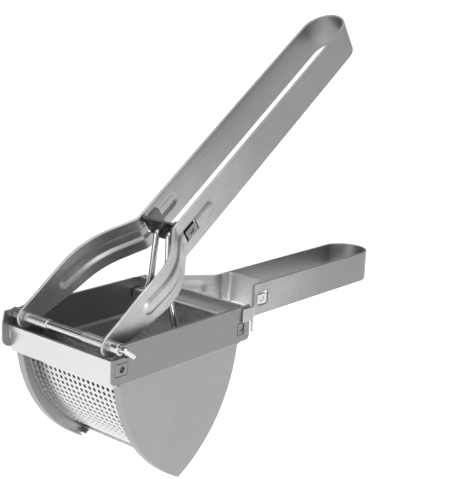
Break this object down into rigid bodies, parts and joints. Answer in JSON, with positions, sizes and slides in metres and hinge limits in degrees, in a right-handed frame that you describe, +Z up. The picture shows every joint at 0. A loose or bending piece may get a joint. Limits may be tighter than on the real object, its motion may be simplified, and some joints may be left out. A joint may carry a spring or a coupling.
{
  "type": "potato ricer",
  "caption": "Hand press with a shield-shaped hopper, a curved perforated front wall, a fixed looped handle and a hinged looped lever that drives a curved pusher.",
  "frame": {"origin": "middle of the overall width and length, level with the tips of the hopper's side plates", "axes": "+Z up out of the hopper's mouth, +Y from the hinge towards the handles' free ends, +X towards the side plate that is notched for the hinge rod"},
  "size_m": [0.0878, 0.28, 0.2452],
  "materials": {
    "sheet_steel": "satin, with light handling marks",
    "strip_steel": "brushed along its length",
    "polished_wire": "polished"
  },
  "bodies": {
    "hopper": {"right_side_plate": "sheet_steel", "left_side_plate": "sheet_steel", "front_rail": "sheet_steel", "rear_rail": "sheet_steel", "perforated_screen": "sheet_steel", "rear_wall": "sheet_steel", "hinge_rod": "polished_wire", "handle_strip": "strip_steel", "handle_cross_plate": "strip_steel"},
    "lever": {"lever_strip": "strip_steel", "lever_bracket": "strip_steel", "brace_wire_left": "polished_wire", "brace_wire_right": "polished_wire", "pusher_plate": "sheet_steel", "centre_sleeve": "polished_wire", "rod_bush_left": "polished_wire", "rod_bush_right": "polished_wire"}
  },
  "joints": [
    {"name": "lever_hinge", "type": "hinge", "parent": "hopper", "child": "lever", "pos_m": [-0.00125, -0.1305, 0.0843], "axis": [1, 0, 0], "range_deg": [-21.4, 70]}
  ]
}
